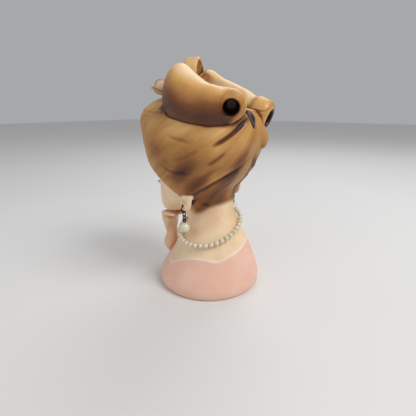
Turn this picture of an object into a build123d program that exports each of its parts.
"""Lady-head planter: a hollow slip-cast head and bust with luted-on hair rolls, curl, flower and hand,
a strung pearl necklace and two pearl drop earrings on short chains.

Millimetres. +Z is up, the face looks along -Y, the lady's left is +X. The origin is the middle of the foot.
"""

import math
import os

from build123d import *

os.makedirs("parts", exist_ok=True)

# Casting
wall = 4.5
floor_thickness = 6.0

# Bust and neck: the neck stands back from the foot and has a straight cone where the necklace lies
foot_radius = 38.7
bust_radius = 41.0
bust_widest_height = 5.0
bust_steps = 4
neck_radius = 16.0
neck_height = 72.0
neck_root = 10.0
neck_set_back = 3.6
cone_low_radius = 29.6
cone_top_radius = 17.0
cone_length = 29.0
cone_top_drop = 10.0
cone_top_height = neck_height - cone_top_drop
cone_low_height = cone_top_height - cone_length
cone_slope = (cone_low_radius - cone_top_radius) / cone_length

# Face oval, from the chin up into the hair
chin_drop = 19.0
chin_height = neck_height - chin_drop
face_height = 53.0
face_half_width = 29.0
face_half_depth = 29.5
face_centre_y = -14.5
chin_lead = 22.5
chin_half_width = 4.5

# Nose, eyelids and lashes
nose_reach = 5.4
nose_half_width = 4.4
nose_length = 16.5
nose_base_height = chin_height + 17.5
eyelid_radius = 7.0
eyelid_bulge = 1.4
eye_spacing = 21.0
eye_height = chin_height + 29.5
lash_thickness = 0.6
lash_length = 10.5
lash_depth = 3.2

# Hair cap: an egg over the skull, cut off below by the slanting hairline
hair_widest_height = neck_height + 46.0
hair_depth_below = 56.0
hair_height_above = 23.0
hair_top_height = hair_widest_height + hair_height_above
hair_half_width = 45.0
hair_half_depth = 48.0
hair_centre_y = -6.0
hairline_ear_height = neck_height + 6.0
hairline_slope_degrees = 28.0

# Fringe: the puff over the forehead
fringe_half_width = 38.0
fringe_half_depth = 25.0
fringe_half_height = 18.5
fringe_set_back = 1.5
fringe_over_cap = 8.5
fringe_top_height = hair_top_height + fringe_over_cap
fringe_centre_y = hair_centre_y - hair_half_depth + fringe_set_back + fringe_half_depth

# Ears: a plate below the hair, with a pierced lobe
ear_inner_x = 30.8
ear_thickness = 3.4
ear_centre_y = 4.0
ear_centre_height = neck_height + 4.5
ear_half_depth = 6.0
ear_half_height = 8.6
ear_round = 1.3
ear_root_radius = 4.5
ear_root_rise = 3.5
lobe_hole_lead = 2.4
lobe_hole_drop = 4.3
lobe_hole_radius = 1.0

# Side rolls of hair, set in from the cap's sides and ends; their tops lean towards the mouth
roll_half_width = 14.5
roll_half_height = 20.5
roll_inset = 14.0
roll_lean = 12.0
roll_centre_x = hair_half_width - roll_inset
left_roll_front_inset = 34.0
left_roll_back_inset = 9.0
left_roll_rise = 7.0
left_roll_back_drop = 8.0
right_roll_front_inset = 27.0
right_roll_back_inset = 11.0
right_roll_rise = 9.0
right_roll_back_drop = 13.5

# Planting mouth between the rolls
roll_beside_mouth = 1.5
mouth_half_width = roll_centre_x - roll_half_width - roll_beside_mouth
mouth_half_length = 20.0
mouth_centre_y = 4.0

# Open curls that end the rolls; each mouth is set off from the roll's back end
curl_round = 3.0
curl_wall = 4.8
curl_bore_depth = 12.0
curl_length = 15.0
left_curl_radius = 9.8
left_curl_offset = Vector(2.0, 4.0, 0.0)
left_curl_heading = 122.0
left_curl_dip = 14.0
right_curl_radius = 12.0
right_curl_offset = Vector(1.0, 9.0, -4.0)
right_curl_heading = 192.0
right_curl_dip = 22.0

# Crown curl: one upright open loop at the front of the mouth
loop_half_width = 10.5
loop_half_height = 16.8
loop_wall = 2.8
loop_length = 11.0
loop_sink = 5.9
loop_centre_x = -8.0
loop_behind_fringe = 5.5
loop_centre_y = fringe_centre_y + loop_behind_fringe
loop_heading = 200.0

# Flower on the fringe
flower_x = 8.8
flower_forward = 6.0
flower_lift = 1.5
flower_heading = 24.0
flower_dip = -58.0
petal_count = 5
petal_radius = 5.2
petal_cup_radius = 8.5
petal_thickness = 1.4
petal_tilt = 48.0
petal_ring_radius = 0.5
flower_heart_radius = 2.8
flower_stalk_radius = 2.4
flower_stalk_length = 6.0
leaf_length = 14.0
leaf_width = 7.0
leaf_thickness = 1.4
leaf_drop = 1.0

# Forearm and hand under the chin
hand_x = 2.0
hand_stand_off = 1.5
forearm_low_height = 13.0
forearm_half_width = 7.0
forearm_half_depth = 6.6
wrist_half_width = 6.4
wrist_half_depth = 4.5
knuckle_half_width = 8.3
knuckle_half_depth = 4.6
finger_count = 4
finger_radius = 2.2
finger_pitch = 4.1
finger_reach = 12.0
finger_press = 0.1
thumb_radius = 2.4
thumb_reach = 11.0

# Necklace of strung pearls
bead_diameter = 4.0
bead_gap = 0.2
bead_bore_diameter = 1.0
thread_diameter = 0.6
knot_diameter = 1.5
necklace_below_chin = 1.5
necklace_tilt = 21.3
necklace_high_side = -89.0
necklace_clearance = 0.35

# Drop earrings
wire_radius = 0.4
ring_radius = 3.0
ring_ride = 0.25
link_inside_length = 3.0
link_inside_width = 1.7
link_play = 0.15
pearl_diameter = 8.0
pearl_bore_radius = 0.5
pearl_play = 0.05
pin_head_radius = 0.95
pin_head_thickness = 0.4


def finish(builder, name):
    """Names a finished piece and writes it to its own file."""
    builder.part.label = name
    export_step(builder.part, f"parts/{name}.step")


def heading(degrees, dip_degrees=0.0):
    """Unit direction, turned from the face towards the lady's left and dipping below level."""
    turn = math.radians(degrees)
    dip = math.radians(dip_degrees)
    return Vector(math.sin(turn) * math.cos(dip), -math.cos(turn) * math.cos(dip), -math.sin(dip))


def loft_ovals(rows):
    """Lofts level ovals, each (height, half width, half depth, centre x, centre y)."""
    ovals = []
    for height, across, along, centre_x, centre_y in rows:
        with BuildSketch(Plane.XY.offset(height)) as oval:
            with Locations((centre_x, centre_y)):
                Ellipse(across, along)
        ovals.append(oval.sketch)
    loft(ovals)


def bust_ovals(inset, bottom):
    """Level circles of the bust from its foot to the low end of the neck cone, set in from the outside."""
    rise = cone_low_height - bust_widest_height
    rows = [(bottom, foot_radius - inset, foot_radius - inset, 0, 0)]
    for step in range(bust_steps + 1):
        up = step / bust_steps
        ease = up * up * (3 - 2 * up)
        flare = up * up * (1 - up) * rise * cone_slope
        radius = bust_radius + (cone_low_radius - bust_radius) * ease + flare - inset
        height = bust_widest_height + inset * (1 - up) + up * rise
        rows.append((height, radius, radius, 0, neck_set_back * ease))
    return rows


def turned_neck(inset):
    """The neck and its cone, turned on the neck's axis and set in from the outside."""
    cone_low = (cone_low_radius - inset, cone_low_height)
    cone_top = (cone_top_radius - inset, cone_top_height)
    neck = (neck_radius - inset, neck_height)
    neck_top = (neck_radius - inset, neck_height + neck_root)
    with BuildPart() as turned:
        with BuildSketch(Plane.XZ):
            with BuildLine():
                Line((0, cone_low_height), cone_low)
                Line(cone_low, cone_top)
                Spline(cone_top, neck, tangents=((-cone_slope, 1), (0, 1)))
                Line(neck, neck_top)
                Line(neck_top, (0, neck_height + neck_root))
                Line((0, neck_height + neck_root), (0, cone_low_height))
            make_face()
        revolve(axis=Axis.Z)
    return turned.part.moved(Location((0, neck_set_back, 0)))


def face_ovals(inset):
    """Ovals of the face, by shares of the way up, the half width, the half depth and the chin's lead."""
    shares = (
        (0.00, 0.155, 0.153, 1.00),
        (0.07, 0.44, 0.33, 0.87),
        (0.17, 0.66, 0.51, 0.67),
        (0.28, 0.80, 0.69, 0.43),
        (0.40, 0.89, 0.85, 0.22),
        (0.53, 0.95, 0.95, 0.07),
        (0.70, 1.00, 1.00, 0.00),
        (0.87, 1.00, 0.98, -0.02),
        (1.00, 0.93, 0.91, -0.07),
    )
    rows = []
    for up, across, along, lead in shares:
        half_width = max(across * face_half_width - inset, chin_half_width - inset / 2)
        half_depth = max(along * face_half_depth - inset, chin_half_width - inset / 2)
        centre_y = face_centre_y - lead * chin_lead
        height = chin_height + inset + up * (face_height - 2 * inset)
        rows.append((height, half_width, half_depth, 0, centre_y))
    return rows


def face_front(height, across):
    """How far forward the face oval reaches at a height and a distance to the side."""
    rows = face_ovals(0)
    for low, high in zip(rows, rows[1:]):
        if low[0] <= height <= high[0]:
            share = (height - low[0]) / (high[0] - low[0])
            half_width, half_depth, centre_y = (low[i] + share * (high[i] - low[i]) for i in (1, 2, 4))
            return centre_y - half_depth * math.sqrt(1 - (across / half_width) ** 2)


def hair_ovals(inset):
    """Ovals of the hair cap from the nape to the crown, by shares of its sizes."""
    shares_below = (
        (1.00, 0.30, 0.28, -1.33),
        (0.84, 0.40, 0.34, -1.17),
        (0.68, 0.74, 0.51, -0.33),
        (0.50, 0.88, 0.74, 0.15),
        (0.25, 0.97, 0.90, 0.10),
    )
    shares_above = (
        (0.00, 1.00, 0.99, 0.00),
        (0.50, 0.98, 0.985, 0.00),
        (0.78, 0.90, 0.93, 0.00),
        (0.94, 0.75, 0.80, 0.00),
        (1.00, 0.58, 0.64, 0.00),
    )
    steps = [(-down * hair_depth_below, *rest) for down, *rest in shares_below]
    steps += [(up * (hair_height_above - inset), *rest) for up, *rest in shares_above]
    rows = []
    for rise, across, along, lead in steps:
        half_width = across * hair_half_width - inset
        half_depth = along * hair_half_depth - inset
        rows.append((hair_widest_height + rise, half_width, half_depth, 0, hair_centre_y * (1 + lead)))
    return rows


# Bust and neck, solid
with BuildPart() as bust_form:
    loft_ovals(bust_ovals(0, 0))
    add(turned_neck(0))

# Face with nose and eyelids, solid
with BuildPart() as face_form:
    loft_ovals(face_ovals(0))
    nose_front = face_front(nose_base_height, 0)
    nose_shares = ((0.00, 0.72, 0.60), (0.16, 1.00, 1.00), (0.50, 0.62, 0.72), (1.00, 0.50, 0.36))
    loft_ovals(
        [
            (nose_base_height + up * nose_length, across * nose_half_width, out * nose_reach, 0, nose_front)
            for up, across, out in nose_shares
        ]
    )
    eyelid_y = face_front(eye_height, eye_spacing / 2) + eyelid_radius - eyelid_bulge
    with Locations((eye_spacing / 2, eyelid_y, eye_height), (-eye_spacing / 2, eyelid_y, eye_height)):
        Sphere(eyelid_radius)

# Hair cap above the slanting hairline, with the fringe puff, solid
hairline_slope = math.radians(hairline_slope_degrees)
hairline = Plane(
    origin=(0, 0, hairline_ear_height),
    x_dir=(1, 0, 0),
    z_dir=(0, math.sin(hairline_slope), math.cos(hairline_slope)),
)
with BuildPart() as hair_form:
    loft_ovals(hair_ovals(0))
    split(bisect_by=hairline, keep=Keep.TOP)
    for side_share in (-0.97, -0.8, -0.45, 0, 0.45, 0.8, 0.97):
        swell = math.sqrt(1 - side_share**2)
        with BuildSketch(Plane.YZ.offset(side_share * fringe_half_width)):
            with Locations((fringe_centre_y, fringe_top_height - fringe_half_height)):
                Ellipse(swell * fringe_half_depth, swell * fringe_half_height)
    loft()

# Ears
ear_middle_x = ear_inner_x + ear_thickness / 2
lobe_hole_y = ear_centre_y - lobe_hole_lead
lobe_hole_height = ear_centre_height - lobe_hole_drop
with BuildPart() as ear_form:
    with BuildSketch(Plane.YZ.offset(ear_inner_x)):
        with Locations((ear_centre_y, ear_centre_height)):
            Ellipse(ear_half_depth, ear_half_height)
    extrude(amount=ear_thickness)
    fillet(ear_form.edges(), ear_round)
    with BuildSketch(Plane.YZ.offset(neck_radius - wall / 2)):
        with Locations((ear_centre_y, ear_centre_height + ear_root_rise)):
            Circle(ear_root_radius)
    extrude(amount=ear_middle_x - neck_radius + wall / 2)
    with Locations(Plane(origin=(ear_middle_x, lobe_hole_y, lobe_hole_height), z_dir=(1, 0, 0))):
        Cylinder(lobe_hole_radius, 2 * ear_thickness, mode=Mode.SUBTRACT)
    mirror(about=Plane.YZ)

# The outside of the casting, still solid: what the luted-on pieces are seated on
with BuildPart() as casting_form:
    add(bust_form.part)
    add(face_form.part)
    add(hair_form.part)
    add(ear_form.part)

# Inside of the casting, one wall in from the outside
with BuildPart() as cavity_form:
    loft_ovals(bust_ovals(wall, floor_thickness))
    add(turned_neck(wall))
    loft_ovals(face_ovals(wall))

with BuildPart() as hair_cavity_form:
    loft_ovals(hair_ovals(wall))
    split(bisect_by=hairline.offset(wall), keep=Keep.TOP)
    with BuildSketch(Plane.XY.offset(hair_widest_height)):
        with Locations((0, mouth_centre_y)):
            Ellipse(mouth_half_width, mouth_half_length)
    extrude(amount=fringe_top_height + wall - hair_widest_height)

with BuildPart() as body_shell:
    add(casting_form.part)
    add(cavity_form.part, mode=Mode.SUBTRACT)
    add(hair_cavity_form.part, mode=Mode.SUBTRACT)
finish(body_shell, "body_shell")


def hair_roll(side, shares, front_inset, back_inset, rise, back_drop, curl):
    """One side roll with the open curl at its back end, seated on the hair cap.

    Its sections go by shares of the way back, the centre's place outward, the drop, the half width and height.
    """
    curl_radius, curl_offset, curl_heading, curl_dip = curl
    centre_x = side * roll_centre_x
    centre_height = hair_top_height + rise
    front_y = hair_centre_y - hair_half_depth + front_inset
    back_y = hair_centre_y + hair_half_depth - back_inset
    outward = heading(curl_heading, curl_dip)
    roll_end = Vector(shares[-1][1] * centre_x, back_y, centre_height - back_drop)
    mouth_plane = Plane(origin=roll_end + curl_offset, z_dir=outward)
    with BuildPart() as stub:
        with BuildSketch(mouth_plane):
            Circle(curl_radius)
        extrude(amount=-curl_length)
        fillet(stub.edges().sort_by(Axis(mouth_plane.origin, outward))[-1], curl_round)
        add(hair_form.part, mode=Mode.SUBTRACT)
    with BuildPart() as roll:
        for back, out, drop, across, up in reversed(shares):
            with BuildSketch(Plane.XZ.offset(-front_y - back * (back_y - front_y))):
                with Locations((out * centre_x, centre_height - drop * back_drop)):
                    Ellipse(across * roll_half_width, up * roll_half_height, rotation=side * roll_lean)
        loft()
        add(hair_form.part, mode=Mode.SUBTRACT)
        add(stub.part)
        with BuildSketch(mouth_plane):
            Circle(curl_radius - curl_wall)
        extrude(amount=-curl_bore_depth, mode=Mode.SUBTRACT)
    return roll


left_hair_roll = hair_roll(
    1,
    (
        (0.00, 0.66, 0.00, 0.31, 0.34),
        (0.04, 0.69, 0.00, 0.55, 0.66),
        (0.13, 0.77, 0.00, 0.79, 0.88),
        (0.32, 0.92, 0.00, 0.99, 1.00),
        (0.53, 1.00, 0.38, 1.00, 0.85),
        (0.75, 0.97, 0.81, 0.86, 0.67),
        (0.91, 0.89, 0.94, 0.72, 0.58),
        (1.00, 0.79, 1.00, 0.55, 0.44),
    ),
    left_roll_front_inset,
    left_roll_back_inset,
    left_roll_rise,
    left_roll_back_drop,
    (left_curl_radius, left_curl_offset, left_curl_heading, left_curl_dip),
)
finish(left_hair_roll, "left_hair_roll")
right_hair_roll = hair_roll(
    -1,
    (
        (0.00, 0.65, 0.22, 0.28, 0.29),
        (0.05, 0.68, 0.07, 0.59, 0.68),
        (0.16, 0.71, 0.00, 0.79, 0.90),
        (0.40, 0.76, 0.33, 0.81, 0.83),
        (0.62, 0.77, 0.59, 0.80, 0.73),
        (0.84, 0.73, 0.81, 0.70, 0.58),
        (1.00, 0.65, 1.00, 0.55, 0.41),
    ),
    right_roll_front_inset,
    right_roll_back_inset,
    right_roll_rise,
    right_roll_back_drop,
    (right_curl_radius, right_curl_offset, right_curl_heading, right_curl_dip),
)
finish(right_hair_roll, "right_hair_roll")

# Crown curl
loop_centre = (loop_centre_x, loop_centre_y, fringe_top_height - loop_sink + loop_half_height)
loop_axis = heading(loop_heading)
with BuildPart() as crown_curl:
    with BuildSketch(Plane(origin=loop_centre, x_dir=loop_axis.cross(Vector(0, 0, 1)), z_dir=loop_axis)):
        Ellipse(loop_half_width, loop_half_height)
        Ellipse(loop_half_width - loop_wall, loop_half_height - loop_wall, mode=Mode.SUBTRACT)
    extrude(amount=loop_length / 2, both=True)
    add(hair_form.part, mode=Mode.SUBTRACT)
    add(right_hair_roll.part, mode=Mode.SUBTRACT)
    add(crown_curl.solids().sort_by(SortBy.VOLUME)[-1], mode=Mode.REPLACE)
finish(crown_curl, "crown_curl")

# Flower: a heart on a short stalk, a cup of petals round it and two leaves below
flower_seat = (flower_x, fringe_centre_y - flower_forward, fringe_top_height + flower_lift)
flower_axis = heading(flower_heading, flower_dip)
flower_plane = Plane(origin=flower_seat, x_dir=heading(flower_heading + 90), z_dir=flower_axis)
with BuildPart() as flower_heart:
    with BuildSketch(flower_plane.offset(-flower_stalk_length)):
        Circle(flower_stalk_radius)
    extrude(amount=2 * flower_stalk_length)
    with Locations(flower_plane.offset(flower_stalk_length)):
        Sphere(flower_heart_radius)
    add(hair_form.part, mode=Mode.SUBTRACT)
finish(flower_heart, "flower_heart")

with BuildPart() as petal:
    Sphere(petal_cup_radius)
    Sphere(petal_cup_radius - petal_thickness, mode=Mode.SUBTRACT)
    with Locations((0, 0, -petal_cup_radius)):
        Cylinder(petal_radius, 2 * petal_cup_radius, mode=Mode.INTERSECT)

with BuildPart() as flower_bloom:
    for turn in range(petal_count):
        around = flower_plane.location * Rotation(0, 0, turn * 360 / petal_count)
        tilted = Pos(petal_ring_radius, 0, petal_cup_radius) * Rotation(0, -petal_tilt, 0)
        add(petal.part.moved(around * tilted))
    add(flower_heart.part, mode=Mode.SUBTRACT)
    add(hair_form.part, mode=Mode.SUBTRACT)
finish(flower_bloom, "flower_bloom")

with BuildPart() as flower_leaves:
    for turn in (0, 180):
        leaf_plane = Plane(flower_plane.offset(-leaf_drop).location * Rotation(0, 0, turn))
        with BuildSketch(leaf_plane):
            with BuildLine():
                ThreePointArc((0, 0), (leaf_length / 2, leaf_width / 2), (leaf_length, 0))
                ThreePointArc((leaf_length, 0), (leaf_length / 2, -leaf_width / 2), (0, 0))
            make_face()
        extrude(amount=-leaf_thickness)
    add(hair_form.part, mode=Mode.SUBTRACT)
    add(flower_heart.part, mode=Mode.SUBTRACT)
    add(flower_bloom.part, mode=Mode.SUBTRACT)
finish(flower_leaves, "flower_leaves")

# Forearm and hand: the fingers bend back under the chin
hand_y = -bust_radius - hand_stand_off
knuckle_height = chin_height - finger_radius + finger_press
hand_rise = knuckle_height - forearm_low_height
hand_ovals = (
    (0.00, 0.57 * forearm_half_width, 0.55 * forearm_half_depth, 0.2),
    (0.06, 0.86 * forearm_half_width, 0.85 * forearm_half_depth, -0.2),
    (0.17, forearm_half_width, forearm_half_depth, -0.4),
    (0.32, 0.96 * forearm_half_width, 0.90 * forearm_half_depth, 0.0),
    (0.48, wrist_half_width, wrist_half_depth, 0.6),
    (0.72, 0.94 * knuckle_half_width, knuckle_half_depth, 0.0),
    (0.93, knuckle_half_width, 0.95 * knuckle_half_depth, -0.9),
    (1.03, 0.88 * knuckle_half_width, 0.74 * knuckle_half_depth, -1.0),
)


def add_capsule(start, reach, radius):
    """A round-ended rod from start along reach."""
    with Locations(start, start + reach):
        Sphere(radius)
    with Locations(Plane(origin=start, z_dir=reach)):
        Cylinder(radius, reach.length, align=(Align.CENTER, Align.CENTER, Align.MIN))


with BuildPart() as hand:
    loft_ovals(
        [
            (forearm_low_height + up * hand_rise, across, along, hand_x, hand_y + back)
            for up, across, along, back in hand_ovals
        ]
    )
    for finger in range(finger_count):
        finger_x = hand_x + (finger - (finger_count - 1) / 2) * finger_pitch
        knuckle = Vector(finger_x, hand_y - knuckle_half_depth / 2, knuckle_height)
        add_capsule(knuckle, Vector(0, finger_reach, 0), finger_radius)
    thumb_root = Vector(hand_x - knuckle_half_width / 2, hand_y, knuckle_height - thumb_reach)
    add_capsule(thumb_root, Vector(-knuckle_half_width / 2, -thumb_radius, thumb_reach), thumb_radius)
    add(casting_form.part, mode=Mode.SUBTRACT)
finish(hand, "hand")

# Lashes, glued along the lower edge of the eyelids
for side, name in ((1, "left_lash"), (-1, "right_lash")):
    eyelid = Vector(side * eye_spacing / 2, eyelid_y, eye_height)
    with BuildPart() as lash:
        with Locations(eyelid):
            Sphere(eyelid_radius + lash_thickness)
        with BuildSketch(Plane.XZ.offset(-eyelid.Y)):
            with BuildLine():
                inner = (eyelid.X - lash_length / 2, eye_height)
                outer = (eyelid.X + lash_length / 2, eye_height)
                ThreePointArc(inner, (eyelid.X, eye_height - lash_depth), outer)
                ThreePointArc(outer, (eyelid.X, eye_height - lash_depth / 2), inner)
            make_face()
        extrude(amount=2 * eyelid_radius, mode=Mode.INTERSECT)
        add(casting_form.part, mode=Mode.SUBTRACT)
    finish(lash, name)

# Necklace: the strand lies on the neck cone in a tilted plane, which makes its line an ellipse
bead_stand_off = (bead_diameter / 2 + necklace_clearance) * math.hypot(1, cone_slope)
tilt_slope = math.tan(math.radians(necklace_tilt))
necklace_height = chin_height - necklace_below_chin
level_radius = cone_low_radius - cone_slope * (necklace_height - cone_low_height) + bead_stand_off
squeeze = cone_slope * tilt_slope
shift = -level_radius * squeeze / (1 - squeeze**2)
uphill = heading(necklace_high_side)
strand_plane = Plane(
    origin=uphill * shift + Vector(0, neck_set_back, necklace_height + tilt_slope * shift),
    x_dir=uphill + Vector(0, 0, tilt_slope),
    z_dir=Vector(0, 0, 1) - uphill * tilt_slope,
)
with BuildLine(strand_plane) as strand:
    EllipticalCenterArc(
        (0, 0),
        level_radius / (1 - squeeze**2) * math.hypot(1, tilt_slope),
        level_radius / math.sqrt(1 - squeeze**2),
        0,
        arc_size=360,
    )
strand_line = strand.edges()[0]
bead_count = int((strand_line.length - knot_diameter - bead_gap) / (bead_diameter + bead_gap))
bead_pitch = (strand_line.length - knot_diameter - bead_gap) / bead_count

with BuildPart() as necklace_thread:
    with BuildSketch(Plane(origin=strand_line @ 0, z_dir=strand_line % 0)):
        Circle(thread_diameter / 2)
    sweep(path=strand_line)
finish(necklace_thread, "necklace_thread")

with BuildPart() as bead:
    Sphere(bead_diameter / 2)
    Cylinder(bead_bore_diameter / 2, bead_diameter, mode=Mode.SUBTRACT)

with BuildPart() as necklace_beads:
    for place in range(bead_count):
        along = (knot_diameter + bead_gap) / 2 + (place + 0.5) * bead_pitch
        share = along / strand_line.length
        add(bead.part.moved(Plane(origin=strand_line @ share, z_dir=strand_line % share).location))
finish(necklace_beads, "necklace_beads")

with BuildPart() as necklace_knot:
    with Locations(strand_line @ 0):
        Sphere(knot_diameter / 2)
    add(necklace_thread.part, mode=Mode.SUBTRACT)
finish(necklace_knot, "necklace_knot")

# Drop earrings
ring_centre_height = lobe_hole_height + ring_ride - ring_radius
upper_pivot = ring_centre_height - ring_radius
link_pitch = link_inside_length - link_play
lower_pivot = upper_pivot - link_pitch
drop_pivot = lower_pivot - link_pitch
link_bend_radius = link_inside_width / 2 + wire_radius
link_straight = link_inside_length - link_inside_width
eye_height_on_pin = drop_pivot + wire_radius + link_play - link_inside_width / 2
pearl_top = eye_height_on_pin - link_bend_radius - wire_radius - pearl_play
pearl_height = pearl_top - pearl_diameter / 2


def chain_link(centre, across):
    """A round-ended wire link that hangs down from centre in the plane of across and Z."""
    link_plane = Plane(origin=centre, x_dir=across, z_dir=across.cross(Vector(0, 0, 1)))
    half_straight = link_straight / 2
    with BuildLine(link_plane) as outline:
        Line((link_bend_radius, -half_straight), (link_bend_radius, half_straight))
        CenterArc((0, half_straight), link_bend_radius, 0, 180)
        Line((-link_bend_radius, half_straight), (-link_bend_radius, -half_straight))
        CenterArc((0, -half_straight), link_bend_radius, 180, 180)
    path = outline.wires()[0]
    with BuildPart() as link:
        with BuildSketch(Plane(origin=path @ 0, z_dir=path % 0)):
            Circle(wire_radius)
        sweep(path=path)
    return link


for side, name in ((1, "left"), (-1, "right")):
    ear_x = side * ear_middle_x

    with BuildPart() as ear_ring:
        with Locations(Plane(origin=(ear_x, lobe_hole_y, ring_centre_height), z_dir=(0, 1, 0))):
            Torus(ring_radius, wire_radius)
    finish(ear_ring, f"{name}_ear_ring")

    half_link = wire_radius + link_play - link_inside_length / 2
    upper_link = chain_link((ear_x, lobe_hole_y, upper_pivot + half_link), Vector(0, 1, 0))
    finish(upper_link, f"{name}_upper_link")
    lower_link = chain_link((ear_x, lobe_hole_y, lower_pivot + half_link), Vector(1, 0, 0))
    finish(lower_link, f"{name}_lower_link")

    with BuildPart() as eye_pin:
        with Locations(Plane(origin=(ear_x, lobe_hole_y, eye_height_on_pin), z_dir=(1, 0, 0))):
            Torus(link_bend_radius, wire_radius)
        with BuildSketch(Plane((ear_x, lobe_hole_y, pearl_height - pearl_diameter / 2))):
            Circle(wire_radius)
        extrude(amount=pearl_top + wire_radius - pearl_height + pearl_diameter / 2)
        with BuildSketch(Plane((ear_x, lobe_hole_y, pearl_height - pearl_diameter / 2))):
            Circle(pin_head_radius)
        extrude(amount=-pin_head_thickness)
    finish(eye_pin, f"{name}_eye_pin")

    with BuildPart() as pearl:
        with Locations((ear_x, lobe_hole_y, pearl_height)):
            Sphere(pearl_diameter / 2)
            Cylinder(pearl_bore_radius, pearl_diameter, mode=Mode.SUBTRACT)
    finish(pearl, f"{name}_pearl")
